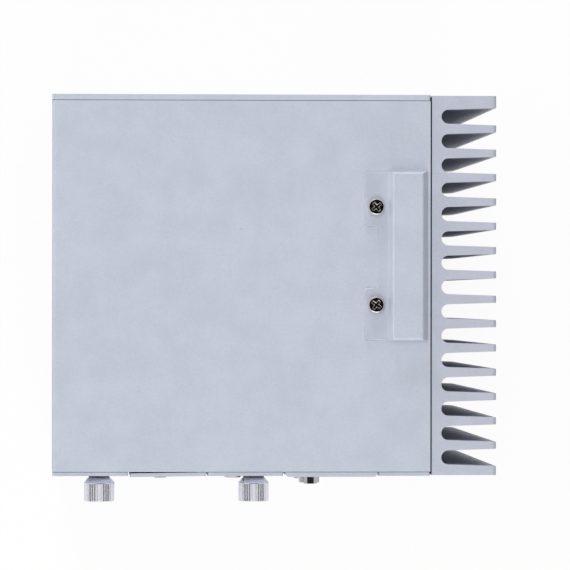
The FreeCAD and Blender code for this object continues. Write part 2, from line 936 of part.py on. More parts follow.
def serial_tube(half_width, y0, y1, z, grow):
    """A D-shaped bar: two parallel sides, leaning ends and rounded corners."""
    half_length = serial_shell_length / 2 + grow
    lean = math.tan(math.radians(serial_shell_lean)) * 2 * half_width
    corners = [
        Vector(serial_x - half_width, y0, z - half_length + lean),
        Vector(serial_x + half_width, y0, z - half_length),
        Vector(serial_x + half_width, y0, z + half_length),
        Vector(serial_x - half_width, y0, z + half_length - lean),
    ]
    outline = Part.Face(Part.makePolygon(corners + [corners[0]]))
    bar = outline.extrude(Vector(0, y1 - y0, 0))
    edges = [e for e in bar.Edges if abs(e.tangentAt(e.FirstParameter).dot(Y_AXIS)) > 0.99]
    return bar.makeFillet(min(serial_shell_corner, 0.55 * half_width), edges)


def make_serial_shell(z):
    """A serial connector's metal shell: flange and open D-shaped collar."""
    width, length, depth = serial_flange
    front = io_plate_front - serial_shell_proud
    flange = block(serial_x - width / 2, serial_x + width / 2, cover_front,
                   cover_front + depth, z - length / 2, z + length / 2)
    collar = serial_tube(serial_shell_width / 2, front, cover_front + depth, z, 0)
    bore = serial_tube(serial_shell_width / 2 - serial_shell_wall, front - 1.0,
                       cover_front + 2 * depth, z, -serial_shell_wall)
    holes = []
    for side in (-1, 1):
        point = Vector(serial_x, cover_front - 1.0, z + side * serial_standoff_pitch / 2)
        holes.append(rod(m3 / 2 + fit_gap, point, Y_AXIS, m3_drill_depth))
    return joined([flange, collar]).cut([bore] + holes)


def serial_insert_front():
    """How far forward the plastic insert reaches inside its shell."""
    return io_plate_front - serial_insert_proud


def make_serial_insert(z):
    """The plastic insert that holds the pins and stands on the serial board."""
    bar = serial_tube(serial_shell_width / 2 - serial_shell_wall,
                      serial_insert_front(), cover_front + serial_flange[2], z,
                      -serial_shell_wall)
    x0 = serial_board_face()
    back = block(x0, x0 + serial_insert_width, cover_front + serial_flange[2],
                 cover_front + serial_insert_depth, z - serial_insert_length / 2,
                 z + serial_insert_length / 2)
    return joined([bar, back])


def serial_board_face():
    """The serial board's face, below the connectors."""
    return serial_x - serial_flange[0] / 2 - screw_clearance


def serial_pin_places(z):
    """Two rows of round pins, five and four."""
    places = []
    for count, side in ((5, 1), (4, -1)):
        x = serial_x + side * serial_row_pitch / 2
        for i in range(count):
            places.append((x, z + (i - (count - 1) / 2) * serial_pin_pitch))
    return places


def make_connector_pins():
    """Round serial pins, square inlet pins and the network jacks' contacts."""
    pins = []
    for z in serial_middles():
        for x, pin_z in serial_pin_places(z):
            start = Vector(x, serial_insert_front(), pin_z)
            pins.append(rod(serial_pin_radius, start, Y_AXIS * -1, serial_pin_length))
    x0, x1 = strip_middle() - inlet_pin / 2, strip_middle() + inlet_pin / 2
    floor = inlet_front() + inlet_depth - inlet_floor
    for z in inlet_pin_heights():
        pins.append(block(x0, x1, inlet_front() + inlet_floor, floor,
                          z - inlet_pin / 2, z + inlet_pin / 2))
    y0 = io_front() + network_contact_set_back
    for x, z in network_mouths():
        top = x + network_mouth[0] / 2
        for i in range(network_contact_count):
            shift = (i - (network_contact_count - 1) / 2) * network_contact_pitch
            z0 = z + shift - network_contact / 2
            pins.append(block(top - network_contact_stand, top, y0,
                              y0 + network_contact_length, z0, z0 + network_contact))
    return group(pins)


def io_front():
    """The front of the ports on the main board."""
    return io_plate_front - port_proud


def network_mouths():
    """The middles, in X and Z, of the network jacks' mouths."""
    x = board_inner_face - network_height / 2 - network_mouth_shift
    z = case_height - network_drop
    return [(x, z + (i - (network_count - 1) / 2) * network_pitch)
            for i in range(network_count)]


def make_network_block():
    """The ganged network jacks: one block with a mouth and latch slot each."""
    x0, x1, z0, z1 = port_outlines()[2]
    body = block(x0, x1, io_front(), io_front() + network_depth, z0, z1)
    height, width = network_mouth
    latch_height, latch_width = network_latch
    cutters = []
    for x, z in network_mouths():
        y1 = io_front() + network_mouth_depth
        cutters.append(block(x - height / 2, x + height / 2, io_front() - 1.0, y1,
                             z - width / 2, z + width / 2))
        cutters.append(block(x - height / 2 - latch_height, x, io_front() - 1.0, y1,
                             z - latch_width / 2, z + latch_width / 2))
    return body.cut(cutters)


def usb_mouth_middles(drop):
    """The two mouths of a twin port."""
    x = board_inner_face - usb_height / 2
    return [(x + side * usb_port_spacing / 2, case_height - drop) for side in (-1, 1)]


def display_mouth_middle(drop):
    """The mouth of a display socket."""
    return board_inner_face - display_height / 2, case_height - drop


def port_body(outline, depth, mouths, size, mouth_depth):
    """A metal port housing with open mouths at the front."""
    x0, x1, z0, z1 = outline
    body = block(x0, x1, io_front(), io_front() + depth, z0, z1)
    corners = edges_along(body, Y_AXIS, lambda p: True)
    body = body.makeFillet(port_corner, corners)
    cutters = []
    for x, z in mouths:
        cutters.append(block(x - size[0] / 2, x + size[0] / 2, io_front() - 1.0,
                             io_front() + mouth_depth, z - size[1] / 2,
                             z + size[1] / 2))
    return body.cut(cutters)


def make_usb_shell(index):
    """One twin port, its two mouths side by side."""
    return port_body(port_outlines()[3 + index], usb_depth,
                     usb_mouth_middles(usb_drop[index]), usb_mouth, port_mouth_depth)


def make_display_shell(index):
    """One display socket, its long mouth upright."""
    return port_body(port_outlines()[index], display_depth,
                     [display_mouth_middle(display_drop[index])], display_mouth,
                     port_mouth_depth)


def make_port_tongues():
    """The plastic tongues inside the twin ports and display sockets."""
    tongues = []
    y0, y1 = io_front() + tongue_set_back, io_front() + port_mouth_depth
    thick, wide = usb_tongue
    for drop in usb_drop:
        for x, z in usb_mouth_middles(drop):
            x0 = x + usb_tongue_shift
            tongues.append(block(x0, x0 + thick, y0, y1, z - wide / 2, z + wide / 2))
    thick, wide = display_tongue
    for drop in display_drop:
        x, z = display_mouth_middle(drop)
        tongues.append(block(x - thick / 2, x + thick / 2, y0, y1, z - wide / 2, z + wide / 2))
    return group(tongues)


def make_serial_standoffs():
    """Hexagonal standoffs that clamp the serial connectors to their plate."""
    posts = []
    for z in serial_middles():
        for side in (-1, 1):
            point = Vector(serial_x, io_plate_front, z + side * serial_standoff_pitch / 2)
            post = hexagon(serial_standoff_flats, point, Y_AXIS * -1,
                           serial_standoff_proud)
            shank = rod(m3 / 2, point, Y_AXIS, io_plate_depth + serial_shank_reach)
            start = point - Y_AXIS * serial_standoff_proud
            bore = rod(serial_standoff_bore, start, Y_AXIS, serial_standoff_bore_depth)
            posts.append(joined([post, shank]).cut(bore))
    return group(posts)


def make_serial_board():
    """The small upright board that carries the serial connectors."""
    face = serial_board_face()
    low, high = serial_board_ends()
    y0 = cover_front + serial_board_set_back
    return block(face - board, face, y0, y0 + serial_board_depth, low, high)


def serial_board_ends():
    """The heights of the serial board's lower and upper edges."""
    middles = serial_middles()
    return min(middles) - serial_board_overhang, max(middles) + serial_board_overhang


def make_serial_posts():
    """Hexagonal posts that tie the serial board to the main board."""
    posts = []
    y = cover_front + serial_board_set_back + serial_board_depth - serial_post_set_in
    low, high = serial_board_ends()
    length = board_inner_face - serial_board_face()
    for z in (low + serial_post_inset, high - serial_post_inset):
        start = Vector(serial_board_face(), y, z)
        posts.append(hexagon(serial_post_flats, start, X_AXIS, length))
    return posts


def strip_middle():
    """The middle of the strip beside the heatsink."""
    return strip_x + strip_width / 2


def strip_window():
    """The window in the front frame behind the strip."""
    low = case_height - inlet_drop - inlet_half_height() - plate_overlap
    high = case_height - light_drop + plate_overlap
    return (strip_x + strip_window_inset, strip_x + strip_width - strip_window_sink_inset,
            low, high)


def inlet_front():
    """The front of the power inlet."""
    return front_face - inlet_proud


def inlet_pin_heights():
    """The pins of the power inlet, one above another."""
    middle = case_height - inlet_drop
    half = (inlet_pin_count - 1) / 2
    return [middle + (i - half) * inlet_pin_pitch for i in range(inlet_pin_count)]


def inlet_half_height():
    """Half the power inlet's height."""
    return inlet_pin_count * inlet_pin_pitch / 2 + 1.0


def light_heights():
    """The status lights, one above another."""
    first = case_height - light_drop
    return [first - i * light_pitch for i in range(light_count)]


def make_side_strip():
    """The narrow front strip with the lights, the button and the inlet."""
    plate = rounded_slab(strip_x, strip_x + strip_width, front_face, cover_front,
                         plate_bottom, plate_top, plate_corner, Y_AXIS)
    y = front_face - 1.0
    through = front_plate + 2.0
    cutters = [countersink(seat, Y_AXIS * -1, m3_drill_depth) for seat in strip_seats()]
    for z in light_heights():
        start = Vector(strip_middle(), y, z)
        cutters.append(rod(light_radius + fit_gap, start, Y_AXIS, through))
    start = Vector(strip_middle(), y, case_height - button_drop)
    cutters.append(rod(button_sleeve_radius() + fit_gap, start, Y_AXIS, through))
    half = inlet_half_height()
    middle = case_height - inlet_drop
    cutters.append(block(strip_middle() - inlet_width / 2 - fit_gap,
                         strip_middle() + inlet_width / 2 + fit_gap, y, y + through,
                         middle - half - fit_gap, middle + half + fit_gap))
    return plate.cut(cutters)


def make_light_pipes():
    """Clear domed light pipes, seated in the strip."""
    pipes = []
    for z in light_heights():
        profile = [
            (light_radius, 0),
            (light_radius, light_length - 0.55 * light_radius),
            (0.8 * light_radius, light_length - 0.2 * light_radius),
            (0.4 * light_radius, light_length),
        ]
        start = Vector(strip_middle(), cover_front + light_set_back, z)
        pipes.append(revolved(profile, start, Y_AXIS * -1))
    return group(pipes)


def button_sleeve_radius():
    """The radius of the button's collar behind its lip."""
    return button_radius + button_gap + button_ring_width - button_ring_lip - fit_gap


def button_ring_front():
    """The front of the button's collar."""
    return Vector(strip_middle(), front_face - button_ring_proud, case_height - button_drop)


def make_button_ring():
    """The collar that guides the power button, clamped in the strip."""
    inner = button_radius + button_gap
    start = button_ring_front()
    length = button_length + button_ring_extra
    rim = rod(inner + button_ring_width, start, Y_AXIS, button_ring_proud)
    sleeve = rod(button_sleeve_radius(), start, Y_AXIS, length)
    return joined([rim, sleeve]).cut(rod(inner, start, Y_AXIS, length))


def button_rear():
    """The rear of the button's round skirt, when the button isn't pressed."""
    return button_ring_front() + Y_AXIS * (button_length - button_proud)


def make_power_button():
    """The round button with a dished face, a skirt and a stem."""
    profile = [
        (button_stem_radius, -button_stem_length),
        (button_stem_radius, 0),
        (button_radius, 0),
        (button_radius, button_length - button_edge),
        (button_radius - button_edge, button_length),
        (0.7 * button_radius, button_length),
        (0.4 * button_radius, button_length - 0.7 * button_dish),
        (0.1 * button_radius, button_length - button_dish),
    ]
    return revolved(profile, button_rear(), Y_AXIS * -1)


def make_button_switch():
    """The switch behind the button, held by the ring's sleeve."""
    face = button_rear() + Y_AXIS * (button_stem_length + button_travel + button_rest_gap)
    half = switch_side / 2
    body = block(face.x - half, face.x + half, face.y, face.y + switch_depth,
                 face.z - half, face.z + half)
    front = button_ring_front() + Y_AXIS * (button_length + button_ring_extra)
    length = face.y - front.y
    outer = rod(button_sleeve_radius(), front, Y_AXIS, length)
    collar = outer.cut(rod(button_sleeve_radius() - switch_wall, front, Y_AXIS, length))
    return joined([body, collar])


def make_power_inlet():
    """The open plastic header of the power inlet."""
    middle = case_height - inlet_drop
    half = inlet_half_height()
    x0, x1 = strip_middle() - inlet_width / 2, strip_middle() + inlet_width / 2
    body = block(x0, x1, inlet_front(), inlet_front() + inlet_depth, middle - half,
                 middle + half)
    hollow = block(x0 + inlet_wall, x1 - inlet_wall, inlet_front() - 1.0,
                   inlet_front() + inlet_depth - inlet_floor, middle - half + inlet_wall,
                   middle + half - inlet_wall)
    keys = []
    for z in inlet_pin_heights():
        keys.append(block(x0 - 1.0, x0 + 1.5 * inlet_wall, inlet_front() - 1.0,
                          inlet_front() + inlet_key_depth, z - inlet_key / 2,
                          z + inlet_key / 2))
    return body.cut([hollow] + keys)


def make_thumb_screw(x, z):
    """A captive thumbscrew: flare, knurled head and threaded end."""
    radius = thumb_head / 2
    neck = thumb_neck / 2
    thread = thumb_thread / 2
    rise = radius - neck
    flare = thumb_washer + thumb_cone_length
    knurl_start = flare + thumb_rim
    profile = [
        (thread, -thumb_thread_length),
        (thread, thumb_washer),
        (neck, thumb_washer),
        (neck + 0.45 * rise, thumb_washer + 0.34 * thumb_cone_length),
        (neck + 0.85 * rise, thumb_washer + 0.78 * thumb_cone_length),
        (radius, flare),
        (radius, thumb_length - thumb_edge),
        (radius - 0.3 * thumb_edge, thumb_length - 0.3 * thumb_edge),
        (radius - thumb_edge, thumb_length),
    ]
    body = revolved(profile, Vector(0, 0, 0), Z_AXIS)
    points = []
    for i in range(2 * thumb_ridges + 1):
        angle = math.pi * i / thumb_ridges
        reach = radius - (thumb_rim / 2 if i % 2 == 0 else thumb_ridge_depth)
        points.append(Vector(reach * math.cos(angle), reach * math.sin(angle), knurl_start))
    knurl = Part.Face(Part.makePolygon(points)).extrude(Vector(0, 0, thumb_length))
    head_zone = rod(2 * radius, Vector(0, 0, knurl_start), Z_AXIS, thumb_length)
    return placed(body.cut(head_zone.cut(knurl)), Vector(x, front_face, z), Y_AXIS * -1)


def make_thumb_screws():
    """All the captive thumbscrews."""
    return group([make_thumb_screw(x, z) for x, z in thumb_places()])


def make_thumb_washers():
    """The dark washers under the thumbscrews' heads."""
    washers = []
    for x, z in thumb_places():
        start = Vector(x, front_face, z)
        washer = rod(thumb_neck / 2, start, Y_AXIS * -1, thumb_washer)
        bore = rod(thumb_thread / 2 + fit_gap, start, Y_AXIS * -1, thumb_washer)
        washers.append(washer.cut(bore))
    return group(washers)


def make_front_screws():
    """The screws of the front plates: low pan heads and countersunk ones."""
    out = Y_AXIS * -1
    screws = []
    for seat in blank_plate_seats():
        screw = pan_screw(seat, out, blank_pan_head, front_shank, blank_pan_height)
        screws.append(lifted(screw))
    for seat in bay_3_seats():
        screws.append(pan_screw(seat, out, bay_pan_head, front_shank, bay_pan_height))
    for seat in io_plate_seats() + strip_seats():
        screws.append(flush_screw(seat, out, front_shank))
    return group(screws)


def make_main_board():
    """The main board, upright beside the heatsink."""
    body = block(board_inner_face, board_outer_face, board_front,
                 board_front + board_depth, board_bottom, board_bottom + board_height)
    holes = [rod(m3 / 2 + fit_gap, Vector(board_inner_face, y, z), X_AXIS, board)
             for y, z in board_post_places()]
    return body.cut(holes)


def board_post_places():
    """The posts between the main board and the heatsink."""
    y0 = board_front + board_post_behind_ports
    y1 = board_front + board_depth - board_post_inset
    z0 = board_bottom + board_post_inset
    z1 = board_bottom + board_height - board_post_inset
    return [(y, z) for y in (y0, y1) for z in (z0, (z0 + z1) / 2, z1)]


def make_board_posts():
    """Every hexagonal post: those of the main board run to the heatsink."""
    posts = make_serial_posts() + make_card_posts() + make_backplane_posts()
    for y, z in board_post_places():
        point = Vector(board_outer_face, y, z)
        post = hexagon(board_post_flats, point, X_AXIS, sink_inner - board_outer_face)
        stud = rod(m3 / 2, Vector(sink_inner, y, z), X_AXIS, post_stud_length)
        bore = rod(m3 / 2, point, X_AXIS, board_shank)
        posts.append(joined([post, stud]).cut(bore))
    return group(posts)


def make_board_screws():
    """The screws that hold the main board on its posts."""
    screws = []
    for y, z in board_post_places():
        seat = Vector(board_inner_face, y, z)
        screws.append(pan_screw(seat, X_AXIS * -1, m3_head, board_shank))
    return group(screws)


def processor_middle():
    """The processor's place on the main board."""
    return board_front + 0.56 * board_depth, board_bottom + 0.5 * board_height


def make_processor():
    """The processor package on the heatsink's side of the board."""
    x = board_outer_face + processor_carrier
    carrier = square_block(board_outer_face, x, processor_side)
    return joined([carrier, square_block(x, x + processor_lid, processor_lid_side)])


def square_block(x0, x1, side):
    """A block with a square face, centred on the processor."""
    y, z = processor_middle()
    half = side / 2
    return block(x0, x1, y - half, y + half, z - half, z + half)


def make_thermal_pad():
    """The soft pad between the processor and the heat block."""
    x = processor_top()
    return square_block(x, x + thermal_pad, processor_lid_side)


def processor_top():
    """The face of the processor's lid."""
    return board_outer_face + processor_carrier + processor_lid


def make_heat_block():
    """The aluminium block that carries the heat into the heatsink."""
    body = square_block(processor_top() + thermal_pad, sink_inner, heat_block_side)
    return body.makeFillet(heat_block_corner, edges_along(body, X_AXIS, lambda p: True))


def make_memory_socket():
    """The memory socket on the board's inner face."""
    y0, z0 = memory_corner()
    length = memory_socket_length()
    x0 = board_inner_face - memory_socket_stand
    body = block(x0, board_inner_face, y0, y0 + length, z0, z0 + memory_socket_height)
    card_x = board_inner_face - memory_stand
    groove = block(card_x - fit_gap, card_x + memory_card + fit_gap,
                   y0 + memory_socket_wall, y0 + length - memory_socket_wall,
                   z0 + memory_seat - fit_gap, z0 + memory_socket_height)
    arms = [block(x0, board_inner_face, y, y + memory_socket_wall, z0,
                  z0 + memory_arm_height)
            for y in (y0, y0 + length - memory_socket_wall)]
    return joined([body] + arms).cut(groove)


def memory_corner():
    """The front lower corner of the memory socket, before the rear posts."""
    rear = board_front + board_depth - board_post_inset - memory_post_gap
    return rear - memory_socket_length(), board_bottom + memory_rise


def memory_socket_length():
    """The length of the memory socket, over its two arms."""
    return memory_length + 2 * (memory_socket_wall + screw_clearance)


def make_memory_module():
    """The memory module: a thin card with a row of chips."""
    y0, z0 = memory_corner()
    y0 += memory_socket_wall + screw_clearance
    z0 += memory_seat
    face = board_inner_face - memory_stand
    card = block(face, face + memory_card, y0, y0 + memory_length, z0, z0 + memory_height)
    first = y0 + (memory_length - memory_chip_side
                  - (memory_chip_count - 1) * memory_chip_pitch) / 2
    low = z0 + (memory_height - memory_chip_side) / 2
    chips = []
    for i in range(memory_chip_count):
        y = first + i * memory_chip_pitch
        chips.append(block(face - memory_card, face, y, y + memory_chip_side, low,
                           low + memory_chip_side))
    return joined([card] + chips)


def make_coin_cell():
    """The clock's coin cell in its low holder."""
    y, z = board_front + 0.76 * board_depth, board_bottom + 0.39 * board_height
    x = board_inner_face
    holder = rod(cell_holder_radius, Vector(x - cell_holder_height, y, z), X_AXIS,
                 cell_holder_height)
    cell = rod(cell_radius, Vector(x - cell_height, y, z), X_AXIS,
               cell_height - cell_bottom)
    return joined([holder, cell])


def card_middle_x():
    """The plane of the memory cards, under the middle of the dome."""
    return card_cover_left + card_flange_width + card_dome_width / 2


def make_card_board():
    """The small board that carries the card sockets."""
    x = card_board_face()
    y0 = card_cover_front + card_window_inset - card_board_overhang
    y1 = card_cover_front + card_cover_length - card_window_inset + card_board_overhang
    return block(x, x + card_board_sheet, y0, y1, case_height - card_board_bottom,
                 case_height - card_board_top)


def card_board_face():
    """The face of the card board that carries the sockets."""
    return card_middle_x() + card_socket_width / 2


def card_span():
    """Where the storage card and the small card lie along Y."""
    first = card_cover_front + card_window_inset + card_board_overhang
    second = first + storage_card[0] + card_spacing
    return (first, first + storage_card[0]), (second, second + small_card[0])


def make_card_sockets():
    """The two card sockets, open at the top."""
    x = card_middle_x()
    low = case_height - card_socket_bottom
    high = case_height - card_socket_top
    wall = card_board_overhang
    sockets = []
    for (y0, y1), card in zip(card_span(), (storage_card, small_card)):
        reach = card[1] / 2 + fit_gap
        body = block(x - card_socket_width / 2, card_board_face(), y0 - wall, y1 + wall,
                     low, high)
        slot = block(x - reach, x + reach, y0 - fit_gap, y1 + fit_gap,
                     low + card_socket_floor, high)
        sockets.append(body.cut(slot))
    return group(sockets)


def make_storage_card():
    """The storage card, seated in its socket."""
    y0, y1 = card_span()[0]
    x = card_middle_x()
    half = storage_card[1] / 2
    top = case_height - storage_card_top
    return rounded_slab(x - half, x + half, y0, y1, top - storage_card[2], top,
                        storage_card_corner, X_AXIS)


def make_small_card():
    """The small chip card in the second socket."""
    y0, y1 = card_span()[1]
    x = card_middle_x()
    half = small_card[1] / 2
    top = case_height - small_card_top
    low = top - small_card[2]
    card = block(x - half, x + half, y0, y1, low, top)
    corner = edges_along(card, X_AXIS, lambda p: p.z < low + 1.0 and p.y > y0 + 1.0)
    return card.makeChamfer(small_card_cut, corner)


def make_card_posts():
    """Posts from the main board to the card board."""
    z = case_height - card_post_drop
    inset = card_window_inset - card_board_overhang + small_post_flats / 2 + card_post_inset
    posts = []
    for y in (card_cover_front + inset, card_cover_front + card_cover_length - inset):
        start = Vector(board_outer_face, y, z)
        posts.append(hexagon(small_post_flats, start, X_AXIS,
                             card_board_face() - board_outer_face))
    return posts


def make_backplane():
    """The upright board across the rear that the drives plug into."""
    return block(backplane_left, backplane_left + backplane_width, backplane_face,
                 backplane_face + board, backplane_margin,
                 backplane_margin + backplane_height)


def make_backplane_posts():
    """Posts from the rear frame to the backplane."""
    inset = backplane_post_inset
    start = backplane_face + board
    length = cover_rear - frame_sheet - start
    posts = []
    for x in (backplane_left + inset, backplane_left + backplane_width - inset):
        for z in (backplane_margin + inset, backplane_margin + backplane_height - inset):
            posts.append(hexagon(board_post_flats, Vector(x, start, z), Y_AXIS, length))
    return posts


def make_board_link():
    """The connector between the main board and the backplane."""
    low = case_height / 2 + board_link_rise
    return block(board_inner_face - board_link_width, board_inner_face,
                 backplane_face - board_link_depth, backplane_face, low,
                 low + board_link_height)


def drive_left(index):
    """The left face of a drive, in its bay."""
    return module_plates_x[index] + drive_set_in + tray_sheet


def drive_low():
    """The lower edge of the drives."""
    return (case_height - drive_width) / 2


def make_drive(index):
    """A flat drive with rounded corners."""
    x = drive_left(index)
    y1 = backplane_face - socket_reach
    return rounded_slab(x, x + drive_thickness, y1 - drive_length, y1, drive_low(),
                        drive_low() + drive_width, drive_corner, X_AXIS)


def make_drive_tray(index):
    """A folded tray that carries a drive and is fixed to its bay plate."""
    x = drive_left(index)
    low = drive_low() - drive_clear - tray_sheet
    high = drive_low() + drive_width + drive_clear + tray_sheet
    y0, y1 = cover_front, backplane_face - socket_reach
    outer = block(x - tray_sheet, x - tray_sheet + tray_flange, y0, y1, low, high)
    folds = edges_along(outer, Y_AXIS, lambda p: p.x < x)
    outer = outer.makeFillet(tray_bend, folds)
    hollow = block(x, x + tray_flange, y0 + tray_sheet, y1 + 1.0, low + tray_sheet,
                   high - tray_sheet)
    near, far = y0 + tray_sheet, y0 + tray_sheet + tray_relief_length
    side, past = x - 2 * tray_sheet, x + tray_flange
    lower = block(side, past, near, far, low - 1.0, low + tray_relief)
    upper = block(side, past, near, far, high - tray_relief, high + 1.0)
    window = rounded_slab(side, x + 1.0, y0 + tray_window_front, y1 - tray_window_rear,
                          low + tray_window_inset, high - tray_window_inset,
                          2 * drive_corner, X_AXIS)
    return outer.cut([hollow, lower, upper, window])


def make_drive_sockets():
    """The sockets on the backplane that the drives plug into."""
    sockets = []
    half = drive_socket_height / 2
    for index in drive_bays:
        x = drive_left(index)
        sockets.append(block(x + 1.0, x + drive_thickness - 1.0,
                             backplane_face - socket_reach, backplane_face,
                             case_height / 2 - half, case_height / 2 + half))
    return group(sockets)


def make_slot_socket():
    """The long socket for an expansion card, behind the blank plate."""
    front = backplane_face - slot_socket[1]
    body = slot_block(slot_socket, front)
    return body.cut(slot_block(slot_groove, front))


def slot_block(size, front):
    """A block behind the middle plate, from its front to its depth."""
    width, depth, height = size
    x = module_plates_x[1] + module_plate_width / 2
    z = case_height / 2
    return block(x - width / 2, x + width / 2, front, front + depth, z - height / 2,
                 z + height / 2)


def make_tray_rails():
    """Plastic rails that the trays slide on, from the front frame to the rear."""
    low = drive_low() - drive_clear - tray_sheet - screw_clearance
    high = drive_low() + drive_width + drive_clear + tray_sheet + screw_clearance
    y0, y1 = cover_front + frame_sheet, backplane_face
    rails = []
    for index in drive_bays:
        x = drive_left(index) - tray_sheet - rail_overlap
        for z in (low - rail_height, high):
            rails.append(block(x, x + rail_width, y0, y1, z, z + rail_height))
    return group(rails)


def make_card_cover_screws():
    """The two bright pan-head screws on the card cover."""
    return group([pan_screw(seat, Z_AXIS, washer_pan_head, cover_shank, washer_pan_height)
                  for seat in card_cover_seats()])


def make_cover_screws():
    """The countersunk screws of the painted cover."""
    return group([flush_screw(seat, X_AXIS * -1, cover_shank)
                  for seat in left_cover_seats()])


def make_rear_screws():
    """The countersunk screws of the rear plate."""
    return group([flush_screw(seat, Y_AXIS, rear_shank) for seat in rear_plate_seats()])


def make_sink_screws():
    """The screws inside the case that clamp the heatsink to the frames."""
    return group([pan_screw(seat, X_AXIS * -1, m3_head, sink_screw_length)
                  for seat in sink_screw_seats()])


def make_earth_screw():
    """The earth screw with its washer, low on the rear plate."""
    washer = rod(earth_washer / 2, earth_seat(), Y_AXIS, earth_washer_sheet)
    seat = earth_seat() + Y_AXIS * earth_washer_sheet
    screw = pan_screw(seat, Y_AXIS, earth_pan_head, rear_shank, earth_pan_height)
    return joined([screw, washer])


def all_nodes():
    """Every piece by its node's name."""
    nodes = {
        "cover": make_cover(),
        "front_frame": make_front_frame(),
        "rear_frame": make_rear_frame(),
        "rear_plate": make_rear_plate(),
        "heatsink": make_heatsink(),
        "heatsink_gasket": make_gasket(),
        "card_cover": make_card_cover(),
        "connector_plate": make_io_plate(),
        "side_strip": make_side_strip(),
        "thumb_screws": make_thumb_screws(),
        "thumb_washers": make_thumb_washers(),
        "card_cover_screws": make_card_cover_screws(),
        "cover_screws": make_cover_screws(),
        "rear_screws": make_rear_screws(),
        "heatsink_screws": make_sink_screws(),
        "front_screws": make_front_screws(),
        "earth_screw": make_earth_screw(),
        "serial_standoffs": make_serial_standoffs(),
        "serial_board": make_serial_board(),
        "connector_pins": make_connector_pins(),
        "network_block": make_network_block(),
        "port_tongues": make_port_tongues(),
        "power_inlet": make_power_inlet(),
        "light_pipes": make_light_pipes(),
        "button_ring": make_button_ring(),
        "power_button": make_power_button(),
        "button_switch": make_button_switch(),
        "main_board": make_main_board(),
        "board_posts": make_board_posts(),
        "board_screws": make_board_screws(),
        "processor": make_processor(),
        "thermal_pad": make_thermal_pad(),
        "heat_block": make_heat_block(),
        "memory_socket": make_memory_socket(),
        "memory_module": make_memory_module(),
        "coin_cell": make_coin_cell(),
        "card_board": make_card_board(),
        "card_sockets": make_card_sockets(),
        "storage_card": make_storage_card(),
        "small_card": make_small_card(),
        "backplane": make_backplane(),
        "board_link": make_board_link(),
        "drive_sockets": make_drive_sockets(),
        "slot_socket": make_slot_socket(),
        "tray_rails": make_tray_rails(),
    }
    for index in range(3):
        nodes["bay_plate_%d" % (index + 1)] = make_module_plate(index)
    for number, index in enumerate(drive_bays, 1):
        nodes["drive_tray_%d" % number] = make_drive_tray(index)
        nodes["drive_%d" % number] = make_drive(index)
    for number, z in enumerate(serial_middles(), 1):
        nodes["serial_shell_%d" % number] = make_serial_shell(z)
        nodes["serial_insert_%d" % number] = make_serial_insert(z)
    for index in range(2):
        nodes["usb_shell_%d" % (index + 1)] = make_usb_shell(index)
        nodes["display_shell_%d" % (index + 1)] = make_display_shell(index)
    return nodes


os.makedirs("parts", exist_ok=True)
for name, shape in all_nodes().items():
    shape.exportStep("parts/" + name + ".step")
    print(name, len(shape.Solids), round(shape.Volume, 1), shape.isValid())
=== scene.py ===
import json
import math

import bpy
from mathutils import Matrix, Vector


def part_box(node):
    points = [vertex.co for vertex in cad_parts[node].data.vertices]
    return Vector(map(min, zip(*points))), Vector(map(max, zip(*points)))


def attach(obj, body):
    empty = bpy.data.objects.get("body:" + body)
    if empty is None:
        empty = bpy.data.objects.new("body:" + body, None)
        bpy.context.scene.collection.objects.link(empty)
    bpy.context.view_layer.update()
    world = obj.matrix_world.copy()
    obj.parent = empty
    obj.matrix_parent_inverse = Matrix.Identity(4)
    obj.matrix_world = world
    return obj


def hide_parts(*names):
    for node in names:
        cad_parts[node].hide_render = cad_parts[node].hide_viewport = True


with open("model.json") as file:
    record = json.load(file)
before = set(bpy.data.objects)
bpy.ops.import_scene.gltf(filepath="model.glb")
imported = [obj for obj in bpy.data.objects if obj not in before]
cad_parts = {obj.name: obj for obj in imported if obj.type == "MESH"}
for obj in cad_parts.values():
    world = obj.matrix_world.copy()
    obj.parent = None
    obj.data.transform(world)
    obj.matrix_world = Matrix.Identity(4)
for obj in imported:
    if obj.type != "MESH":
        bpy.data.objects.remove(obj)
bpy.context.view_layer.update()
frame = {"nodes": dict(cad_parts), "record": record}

# Real sizes, in metres
MM = 0.001
CASE_HEIGHT = 214 * MM

# Light: the world and seven lamps bring a pale colour out about as it is written
WORLD_LIGHT = 0.24
LAMP_AIM = Vector((0.01, 0, 0.15))
LAMPS = {
    # name: place, size, watts, and whether bright metal and paint mirror it
    "high_lamp": ((-0.1, 0.35, 1.55), 0.9, 6.8, False),
    "rear_lamp": ((-0.35, 1.25, 1.45), 0.8, 2.4, True),
    "low_rear_lamp": ((-0.3, 1.6, 0.42), 0.5, 18, False),
    "low_left_lamp": ((-1.6, 0.25, 0.5), 0.5, 5.5, False),
    "front_lamp": ((-0.2, -1.4, 1.4), 2.2, 4, True),
    "steep_front_lamp": ((0.0, -0.6, 0.95), 0.6, 2.5, True),
    "low_front_lamp": ((0.25, -1.6, 0.3), 0.8, 15, False),
}

# The stage: a paper floor that shines a little by itself, and a black card overhead
FLOOR_SIZE = 6.0
FLOOR_WHITE = 0.93
PAPER_FIBRE = 1.1 * MM
FLAG_SIZE = 1.5
FLAG_HEIGHT = 1.3
FELT_GRAIN = 2.5 * MM

# Powder coat: its clouds, its orange peel, and how far apart grains of dust may lie
PAINT_CLOUD = 11 * MM
PAINT_PEEL = 0.9 * MM
PEEL_DEPTH = 0.05 * MM
DUST_CELL = 6 * MM
# The share of a cell that a speck fills, and the share of cells that have none
SPECK_SIZE = 0.035
SPECK_FREE = 0.93
# The cloud's share in the tone, and the span that two noises together fill
CLOUD_SHARE = 0.5
TONE_SPAN = (0.38, 0.62)
# Two tones, the dust and the roughness of the painted sheet
SHEET_PAINT = ("#c7ccda", "#bfc4d2", "#5d6069", 0.34)

